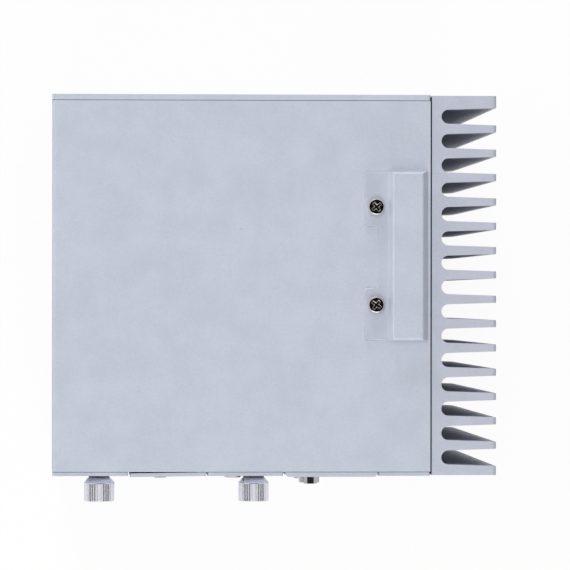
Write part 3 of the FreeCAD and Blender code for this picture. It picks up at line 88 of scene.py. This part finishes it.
# The card cover's flange, with painted shade that darkens it a little below a height just over
# its top
FLANGE_TOP = 215.0 * MM
PAINTED_SHADE_LEVEL = 0.93
PAINTED_SHADE_TOP = FLANGE_TOP + 0.1 * MM
PAINTED_SHADE_FADE = 0.8 * MM

# Metal: how gloss and tone change from line to line, and how long the lines are drawn
GLOSS_SPREAD = (0.8, 1.25)
DARK_LINE = 0.86
LINE_STRETCH = 30

# The thumbscrews: where the smooth cone meets the knurl, and how much glossier it is
CONE_END = -81.4 * MM
CONE_FADE = 0.05 * MM
CONE_POLISH = 0.35

# Mouldings: a painted highlight, how much lighter the high spots of the grain are drawn
PAINTED_HIGHLIGHT_GAIN = 1.25
PAINTED_HIGHLIGHT_LIFT = 0.002

# The boards' copper tracks, and the cloud in clear acrylic
TRACK_PITCH = 4 * MM
TRACK_WIDTH = 0.06
ACRYLIC_CLOUD = 0.8 * MM

# The two pan heads on the card cover: their middles, and how far each cross is turned
HEADS = [((55.2 * MM, 32.2 * MM), math.radians(37)), ((55.2 * MM, -8.0 * MM), math.radians(54))]
HEAD_SIDES = 192
# The crown's radius, its height and how far it drops to its edge
CROWN_RADIUS = 2.92 * MM
CROWN_HEIGHT = 2.28 * MM
CROWN_DROP = 0.15 * MM
# Rings on the crown: close together over the recess, and three outside it
RING_STEP = 0.03 * MM
RING_COUNT = 75
OUTER_RINGS = [2.4 * MM, 2.55 * MM, 2.7 * MM]
# The outline from the crown's edge to the shank, as radius and height in millimetres
HEAD_RIM = [(3.00, 2.10), (3.15, 2.01), (3.32, 1.88), (3.47, 1.745), (3.50, 1.70), (3.50, 1.62),
            (3.50, 0.0), (1.50, 0.0), (1.50, -4.9)]
HEAD_CREASE = math.radians(50)
# The cross recess: reach and half width of its arms, its broken edge, its depths
CROSS_REACH = 2.15 * MM
CROSS_HALF = 0.64 * MM
CROSS_EDGE = 0.09 * MM
CROSS_DEPTHS = (0.75 * MM, 1.10 * MM)
CROSS_CONE = 1.10 * MM
# How steeply its edge, its walls and the cone in its middle go down
EDGE_SLOPE = 0.6
WALL_SLOPE = 8
CONE_SLOPE = 0.7

# How far the gasket's lip comes out of the joint, at the sides and at the ends, and how
# far it keeps inside the joint's faces
LIP_SIDE = 1.7 * MM
LIP_END = 2.7 * MM
LIP_INSET = 0.02 * MM

# The photograph's camera: it looks almost straight down on the flat face
PHOTO_WIDTH = 570
SENSOR_MM = 36
FOCAL_PIXELS = 4483
METRES_PER_PIXEL = 0.00041
CAMERA_SIDE = 2.163
CAMERA_DOWN = -0.035
YAW = -0.0468
PITCH = -0.00317
ROLL = 0.00102
AIM = Vector((0.01868, 0.00011, CASE_HEIGHT))
FAR_CLIP = 10.0


def linear(hex_colour):
    """An sRGB hex colour as the linear values that a shader takes."""
    parts = [int(hex_colour[i:i + 2], 16) / 255 for i in (1, 3, 5)]
    values = [c / 12.92 if c <= 0.04045 else ((c + 0.055) / 1.055) ** 2.4 for c in parts]
    return (*values, 1.0)


def add(material, kind, settings=None, **links):
    """Adds a node with its settings; a link is the socket that feeds an input.

    Settings and links name an input, or number it, as in0 or 0.
    """
    node = material.node_tree.nodes.new(kind)
    for name, value in (settings or {}).items():
        if isinstance(name, int) or name in node.inputs:
            node.inputs[name].default_value = value
        else:
            setattr(node, name, value)
    for name, socket in links.items():
        key = int(name[2:]) if name[:2] == "in" and name[2:].isdigit() else name
        material.node_tree.links.new(socket, node.inputs[key])
    return node


def new_material(name, **settings):
    """A named material with its shader's own values, and the object's coordinates."""
    material = bpy.data.materials.new(name)
    material.use_nodes = True
    shader = material.node_tree.nodes["Principled BSDF"]
    for key, value in settings.items():
        shader.inputs[key.replace("_", " ")].default_value = value
    place = add(material, "ShaderNodeTexCoord").outputs["Object"]
    return material, shader, place


def powder_coat(name, base, shade, speck, roughness, painted_shade_below=None):
    """Polyester powder, sprayed and baked.

    The eye sees a matt, pale skin with an orange-peel grain, slow clouds of
    tone where the coat is thicker, and a dark speck of dust here and there.
    The grain is drawn at about twice its real size, so that it shows. A piece
    may be darkened below a height by painted shade.
    """
    material, shader, place = new_material(name, Roughness=roughness)
    link = material.node_tree.links.new
    cloud = add(material, "ShaderNodeTexNoise", {"Scale": 1 / PAINT_CLOUD, "Detail": 4.0},
                Vector=place)
    grain = add(material, "ShaderNodeTexNoise", {"Scale": 1 / PAINT_PEEL, "Detail": 3.0},
                Vector=place)
    dust = add(material, "ShaderNodeTexVoronoi", {"Scale": 1 / DUST_CELL}, Vector=place)
    spot = add(material, "ShaderNodeMath", {"operation": "LESS_THAN", 1: SPECK_SIZE},
               in0=dust.outputs["Distance"])
    pick = add(material, "ShaderNodeSeparateColor", Color=dust.outputs["Color"])
    rare = add(material, "ShaderNodeMath", {"operation": "GREATER_THAN", 1: SPECK_FREE},
               in0=pick.outputs["Red"])
    speckle = add(material, "ShaderNodeMath", {"operation": "MULTIPLY"},
                  in0=spot.outputs[0], in1=rare.outputs[0])
    fine = add(material, "ShaderNodeMath", {"operation": "MULTIPLY", 1: 1 - CLOUD_SHARE},
               in0=grain.outputs["Fac"])
    both = add(material, "ShaderNodeMath", {"operation": "MULTIPLY_ADD", 1: CLOUD_SHARE},
               in0=cloud.outputs["Fac"], in2=fine.outputs[0])
    tone = add(material, "ShaderNodeMapRange",
               {"From Min": TONE_SPAN[0], "From Max": TONE_SPAN[1]}, Value=both.outputs[0])
    coat = add(material, "ShaderNodeMix", {"data_type": "RGBA", 6: linear(base),
                                           7: linear(shade)}, in0=tone.outputs["Result"])
    dusty = add(material, "ShaderNodeMix", {"data_type": "RGBA", 7: linear(speck)},
                in0=speckle.outputs[0], in6=coat.outputs[2])
    skin = dusty.outputs[2]
    # Painted shade: the colour is darkened below the given height, fading out above it
    if painted_shade_below is not None:
        height = add(material, "ShaderNodeSeparateXYZ", Vector=place)
        shade_factor = add(material, "ShaderNodeMapRange", {
            "From Min": painted_shade_below, "From Max": painted_shade_below + PAINTED_SHADE_FADE,
            "To Min": PAINTED_SHADE_LEVEL, "To Max": 1.0}, Value=height.outputs["Z"])
        grey = add(material, "ShaderNodeVectorMath", {"operation": "SCALE"}, in0=skin,
                   Scale=shade_factor.outputs["Result"])
        skin = grey.outputs[0]
    link(skin, shader.inputs["Base Color"])
    peel = add(material, "ShaderNodeBump", {"Strength": 0.5, "Distance": PEEL_DEPTH},
               Height=grain.outputs["Fac"])
    link(peel.outputs["Normal"], shader.inputs["Normal"])
    return material


def bare_metal(name, base, roughness, line_mm, along=None, depth_mm=0.02, smooth_behind=None):
    """Plated or bare metal with the faint lines of turning, rolling or milling.

    The eye sees reflections drawn out along the lines, and slight changes of
    tone and gloss from one line to the next. A knurled part may have a smooth,
    mirror-like cone behind a place along Y.
    """
    material, shader, place = new_material(name, Metallic=1.0)
    link = material.node_tree.links.new
    stretch = [1 / (line_mm * MM)] * 3
    if along is not None:
        stretch[along] /= LINE_STRETCH
    turned = add(material, "ShaderNodeMapping", {"Scale": stretch}, Vector=place)
    lines = add(material, "ShaderNodeTexNoise", {"Scale": 1.0, "Detail": 3.0},
                Vector=turned.outputs[0])
    low, high = GLOSS_SPREAD
    gloss = add(material, "ShaderNodeMapRange",
                {"To Min": low * roughness, "To Max": high * roughness},
                Value=lines.outputs["Fac"])
    polish = gloss.outputs["Result"]
    if smooth_behind is not None:
        along_y = add(material, "ShaderNodeSeparateXYZ", Vector=place)
        cone = add(material, "ShaderNodeMapRange", {
            "From Min": smooth_behind - CONE_FADE, "From Max": smooth_behind,
            "To Min": 1.0, "To Max": CONE_POLISH}, Value=along_y.outputs["Y"])
        finer = add(material, "ShaderNodeMath", {"operation": "MULTIPLY"}, in0=polish,
                    in1=cone.outputs["Result"])
        polish = finer.outputs[0]
    link(polish, shader.inputs["Roughness"])
    dark = [DARK_LINE * c for c in linear(base)[:3]] + [1.0]
    tone = add(material, "ShaderNodeMix", {"data_type": "RGBA", 6: linear(base), 7: dark},
               in0=lines.outputs["Fac"])
    link(tone.outputs[2], shader.inputs["Base Color"])
    relief = add(material, "ShaderNodeBump", {"Strength": 0.3, "Distance": depth_mm * MM},
                 Height=lines.outputs["Fac"])
    link(relief.outputs["Normal"], shader.inputs["Normal"])
    return material


def moulded(name, base, roughness, grain_mm=0.4, depth_mm=0.02, sheen=0.5):
    """Moulded plastic or foam rubber.

    The eye sees a fine, even grain from the mould, with a painted highlight
    that makes its high spots a little lighter. Open foam sends back less sheen than a closed
    skin.
    """
    material, shader, place = new_material(name, Roughness=roughness,
                                           Specular_IOR_Level=sheen)
    link = material.node_tree.links.new
    grain = add(material, "ShaderNodeTexNoise", {"Scale": 1 / (grain_mm * MM), "Detail": 2.0},
                Vector=place)
    # Painted highlight: the grain's high spots are drawn lighter than its hollows
    light = [min(1.0, PAINTED_HIGHLIGHT_GAIN * c + PAINTED_HIGHLIGHT_LIFT) for c in linear(base)[:3]] + [1.0]
    tone = add(material, "ShaderNodeMix", {"data_type": "RGBA", 6: linear(base), 7: light},
               in0=grain.outputs["Fac"])
    link(tone.outputs[2], shader.inputs["Base Color"])
    relief = add(material, "ShaderNodeBump", {"Strength": 0.3, "Distance": depth_mm * MM},
                 Height=grain.outputs["Fac"])
    link(relief.outputs["Normal"], shader.inputs["Normal"])
    return material


def solder_resist(name):
    """Glass laminate with green solder resist, printed and cured.

    The eye sees a glossy green with the copper tracks as paler lines in it.
    """
    material, shader, place = new_material(name, Roughness=0.35)
    tracks = add(material, "ShaderNodeTexBrick", {
        "Scale": 1 / TRACK_PITCH, "Mortar Size": TRACK_WIDTH, "Color1": linear("#0d4a30"),
        "Color2": linear("#0a4029"), "Mortar": linear("#1c6b48")}, Vector=place)
    material.node_tree.links.new(tracks.outputs["Color"], shader.inputs["Base Color"])
    return material


def clear_acrylic(name):
    """Clear acrylic, moulded and not polished.

    The eye sees a glassy dome with a faint cloud inside it.
    """
    material, shader, place = new_material(
        name, Roughness=0.12, IOR=1.49, Transmission_Weight=0.55)
    cloud = add(material, "ShaderNodeTexNoise", {"Scale": 1 / ACRYLIC_CLOUD}, Vector=place)
    tone = add(material, "ShaderNodeMix", {
        "data_type": "RGBA", 6: linear("#dfe8e4"), 7: linear("#c3d4cc")},
        in0=cloud.outputs["Fac"])
    material.node_tree.links.new(tone.outputs[2], shader.inputs["Base Color"])
    return material


# Finishes, one for each slot of the record
finishes = {
    # Pale blue-grey powder coat on steel sheet, and a rougher one on the extrusion
    "painted_sheet": powder_coat("powder_coat_on_steel", *SHEET_PAINT),
    "painted_extrusion": powder_coat("powder_coat_on_aluminium", "#c1c5d3", "#b9bdcb",
                                     "#6a6d76", 0.50),
    # Zinc plate on folded steel: grey, dull, with the rolling lines of the sheet
    "zinc_sheet": bare_metal("zinc_plated_sheet", "#b4b7ba", 0.38, 0.6, 2),
    # Nickel plate: dull on the rolled knurl, and like a mirror on the screws
    "knurled_nickel": bare_metal("nickel_plated_knurl", "#e6e6ee", 0.34, 0.15, 1,
                                 smooth_behind=CONE_END),
    "bright_screws": bare_metal("bright_nickel_screw", "#c4c1c0", 0.07, 0.3, None, 0.001),
    "nickel_shells": bare_metal("satin_nickel_shell", "#b2b0b0", 0.15, 0.3, 1),
    "processor_lid": bare_metal("nickel_plated_lid", "#b9babd", 0.3, 0.3, 1),
    # Black oxide on steel: nearly black with a soft, oily gloss
    "dark_screws": bare_metal("black_oxide_screw", "#35363a", 0.4, 0.3, None, 0.005),
    # Brass, turned from bar, and gold flashed over nickel on the contacts
    "brass_parts": bare_metal("turned_brass", "#c7a45c", 0.3, 0.3, 2),
    "gold_pins": bare_metal("gold_flashed_pin", "#d8b25a", 0.22, 0.3, 1),
    # Aluminium with the fine lines of the mill, and a button turned from steel
    "bare_aluminium": bare_metal("milled_aluminium", "#c9cacc", 0.32, 0.4, 2),
    "button_metal": bare_metal("satin_turned_steel", "#c3c4c8", 0.26, 0.2, None),
    # Glass-filled nylon, ABS and foam rubber, all near black
    "black_moulding": moulded("black_moulded_nylon", "#1b1b1e", 0.5),
    "card_shell": moulded("moulded_abs_shell", "#26272c", 0.4),
    "gasket_rubber": moulded("black_foam_rubber", "#0c0c0e", 0.95, 0.5, 0.06, 0.1),
    "circuit_board": solder_resist("green_solder_resist"),
    "light_pipe": clear_acrylic("clear_acrylic_pipe"),
}

# The card cover's paint carries painted shade, which darkens its flange below the dome
flange_shade_paint = powder_coat("powder_coat_with_painted_flange_shade", *SHEET_PAINT, PAINTED_SHADE_TOP)

slots = {part["node"]: part["material_slot"] for part in frame["record"]["subparts"]}
for node, piece in frame["nodes"].items():
    for slot in piece.material_slots:
        slot.material = flange_shade_paint if node == "card_cover" else finishes[slots[node]]


def new_piece(name, points, faces, finish):
    """A piece from its points and faces, with its finish, in the scene."""
    mesh = bpy.data.meshes.new(name)
    mesh.from_pydata(points, [], faces)
    mesh.materials.append(finishes[finish])
    piece = bpy.data.objects.new(name, mesh)
    bpy.context.scene.collection.objects.link(piece)
    return piece


def recess_depth(x, y):
    """How far the cross recess goes down at a point, in the cross's own axes."""
    r = math.hypot(x, y)
    inside = max(min(CROSS_REACH - abs(x), CROSS_HALF - abs(y)),
                 min(CROSS_REACH - abs(y), CROSS_HALF - abs(x)))
    end, middle = CROSS_DEPTHS
    floor = end + (middle - end) * max(0.0, 1 - r / CROSS_REACH)
    edge = EDGE_SLOPE * min(max(inside, 0.0), CROSS_EDGE)
    wall = WALL_SLOPE * max(0.0, inside - CROSS_EDGE)
    cone = CONE_SLOPE * max(0.0, CROSS_CONE - r)
    return min(floor, max(edge + wall, cone))


def head_rings():
    """The head's rings as (radius, height without the recess)."""
    radii = [RING_STEP * i for i in range(1, RING_COUNT + 1)] + OUTER_RINGS + [CROWN_RADIUS]
    rings = [(r, CROWN_HEIGHT - CROWN_DROP * (r / CROWN_RADIUS) ** 2) for r in radii]
    return rings + [(r * MM, z * MM) for r, z in HEAD_RIM]


def head_points(middle, turn, rings):
    """One head's points: its middle, ring after ring, and the end of its shank."""
    mid_x, mid_y = middle
    points = [(mid_x, mid_y, FLANGE_TOP + CROWN_HEIGHT - recess_depth(0, 0))]
    for radius, height in rings:
        for i in range(HEAD_SIDES):
            angle = math.tau * i / HEAD_SIDES
            x, y = radius * math.cos(angle), radius * math.sin(angle)
            cut = recess_depth(radius * math.cos(angle - turn), radius * math.sin(angle - turn))
            points.append((mid_x + x, mid_y + y, FLANGE_TOP + height - cut * (height > 0)))
    points.append((mid_x, mid_y, FLANGE_TOP + rings[-1][1]))
    return points


def head_faces(first, ring_count):
    """One head's faces, from the number of its first point and how many rings it has."""
    starts = [first + 1 + k * HEAD_SIDES for k in range(ring_count)]
    last = first + 1 + ring_count * HEAD_SIDES
    faces = []
    for i in range(HEAD_SIDES):
        j = (i + 1) % HEAD_SIDES
        faces.append((first, starts[0] + i, starts[0] + j))
        faces += [(inner + i, outer + i, outer + j, inner + j)
                  for inner, outer in zip(starts, starts[1:])]
        faces.append((starts[-1] + i, last, starts[-1] + j))
    return faces


def make_pan_heads():
    """The two bright pan heads, turned, with a cross recess whose edges are broken."""
    points, faces = [], []
    rings = head_rings()
    for middle, turn in HEADS:
        faces += head_faces(len(points), len(rings))
        points += head_points(middle, turn, rings)
    heads = new_piece("card_cover_pan_heads", points, faces, "bright_screws")
    heads.data.shade_smooth()
    heads.data.set_sharp_from_angle(angle=HEAD_CREASE)
    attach(heads, "case")
    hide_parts("card_cover_screws")


def make_gasket_lip():
    """The gasket's soft lip, which bulges out of the joint all round the heatsink."""
    low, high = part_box("heatsink_gasket")
    points, faces = [], []
    for x in (low.x + LIP_INSET, high.x - LIP_INSET):
        for side, end in ((0.0, 0.0), (LIP_SIDE, LIP_END)):
            y0, y1 = low.y - side, high.y + side
            z0, z1 = low.z - end, high.z + end
            points += [(x, y0, z0), (x, y1, z0), (x, y1, z1), (x, y0, z1)]
    for i in range(4):
        j = (i + 1) % 4
        # The numbers of two neighbours on each of the four outlines, near and far
        hole, rim, far_hole, far_rim = ((4 * k + i, 4 * k + j) for k in range(4))
        faces += [(hole[0], hole[1], rim[1], rim[0]),
                  (far_hole[0], far_rim[0], far_rim[1], far_hole[1]),
                  (rim[0], rim[1], far_rim[1], far_rim[0]),
                  (hole[0], far_hole[0], far_hole[1], hole[1])]
    lip = new_piece("gasket_lip", points, faces, "gasket_rubber")
    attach(lip, "case")


def seen_rays(material):
    """1 for camera, mirror and glass rays, and 0 for the light that falls on things."""
    path = add(material, "ShaderNodeLightPath")
    seen = path.outputs["Is Camera Ray"]
    for name in ("Is Glossy Ray", "Is Transmission Ray"):
        either = add(material, "ShaderNodeMath", {"operation": "MAXIMUM"}, in0=seen,
                     in1=path.outputs[name])
        seen = either.outputs[0]
    return seen


def make_floor():
    """A paper floor that looks white and keeps the object's soft shadow.

    It is mid-grey for the light that it sends back on to the object.
    """
    bpy.ops.mesh.primitive_plane_add(size=FLOOR_SIZE, location=(0, 0, 0))
    floor = bpy.context.object
    floor.name = "floor"
    material, shader, place = new_material("matt_white_paper", Roughness=0.9)
    link = material.node_tree.links.new
    seen = seen_rays(material)
    fibre = add(material, "ShaderNodeTexNoise", {"Scale": 1 / PAPER_FIBRE}, Vector=place)
    grey = add(material, "ShaderNodeMix", {
        "data_type": "RGBA", 6: linear("#8c8c8e"), 7: linear("#949496")},
        in0=fibre.outputs["Fac"])
    white = add(material, "ShaderNodeMix", {
        "data_type": "RGBA", 7: linear("#f4f4f5")}, in0=seen, in6=grey.outputs[2])
    link(white.outputs[2], shader.inputs["Base Color"])
    relief = add(material, "ShaderNodeBump", {"Strength": 0.05}, Height=fibre.outputs["Fac"])
    link(relief.outputs["Normal"], shader.inputs["Normal"])
    share = add(material, "ShaderNodeMath", {"operation": "MULTIPLY", 1: FLOOR_WHITE},
                in0=seen)
    glow = add(material, "ShaderNodeEmission", {"Strength": 1.0})
    mix = add(material, "ShaderNodeMixShader", in0=share.outputs[0], in1=shader.outputs[0],
              in2=glow.outputs[0])
    link(mix.outputs[0], material.node_tree.nodes["Material Output"].inputs["Surface"])
    floor.data.materials.append(material)


def make_world():
    """Plain grey light all round, white where the camera or a mirror sees it."""
    world = bpy.data.worlds.new("studio")
    bpy.context.scene.world = world
    world.use_nodes = True
    background = world.node_tree.nodes["Background"]
    background.inputs["Color"].default_value = (1, 1, 1, 1)
    level = add(world, "ShaderNodeMapRange", {"To Min": WORLD_LIGHT}, Value=seen_rays(world))
    world.node_tree.links.new(level.outputs["Result"], background.inputs["Strength"])


def make_flag():
    """A black card overhead that only mirrors see, as a studio hangs over bright metal."""
    bpy.ops.mesh.primitive_plane_add(size=FLAG_SIZE, location=(0, 0, FLAG_HEIGHT))
    flag = bpy.context.object
    flag.name = "overhead_flag"
    material, shader, place = new_material("black_felt", Roughness=1.0)
    felt = add(material, "ShaderNodeTexNoise", {"Scale": 1 / FELT_GRAIN}, Vector=place)
    tone = add(material, "ShaderNodeMix", {
        "data_type": "RGBA", 6: linear("#060606"), 7: linear("#101010")},
        in0=felt.outputs["Fac"])
    material.node_tree.links.new(tone.outputs[2], shader.inputs["Base Color"])
    flag.data.materials.append(material)
    flag.visible_camera = False
    flag.visible_diffuse = False
    flag.visible_transmission = False
    flag.visible_shadow = False


def make_lamp(name, place, size, watts, mirrored):
    """A soft square lamp that faces the object, with or without its glare."""
    light = bpy.data.lights.new(name, "AREA")
    light.size = size
    light.energy = watts
    lamp = bpy.data.objects.new(name, light)
    bpy.context.scene.collection.objects.link(lamp)
    lamp.location = place
    lamp.visible_camera = False
    lamp.visible_glossy = mirrored
    lamp.rotation_euler = (LAMP_AIM - Vector(place)).to_track_quat("-Z", "Y").to_euler()


def make_camera():
    """The photograph's camera, from its solved place and turn."""
    turn = (Matrix.Rotation(ROLL, 3, "Z") @ Matrix.Rotation(PITCH, 3, "X")
            @ Matrix.Rotation(YAW, 3, "Y"))
    flip = Matrix.Diagonal((1, -1, -1))
    eye = turn.transposed() @ Vector((-CAMERA_SIDE, -CAMERA_DOWN, -FOCAL_PIXELS))
    data = bpy.data.cameras.new("camera")
    data.sensor_width = SENSOR_MM
    data.lens = FOCAL_PIXELS * SENSOR_MM / PHOTO_WIDTH
    data.clip_end = FAR_CLIP
    camera = bpy.data.objects.new("camera", data)
    bpy.context.scene.collection.objects.link(camera)
    axes = flip @ turn.transposed() @ flip
    camera.matrix_world = Matrix.Translation(
        AIM + METRES_PER_PIXEL * (flip @ eye)) @ axes.to_4x4()
    bpy.context.scene.camera = camera


make_pan_heads()
make_gasket_lip()
make_floor()
make_world()
for name, settings in LAMPS.items():
    make_lamp(name, *settings)
make_flag()
make_camera()
bpy.context.scene.view_settings.view_transform = "Standard"
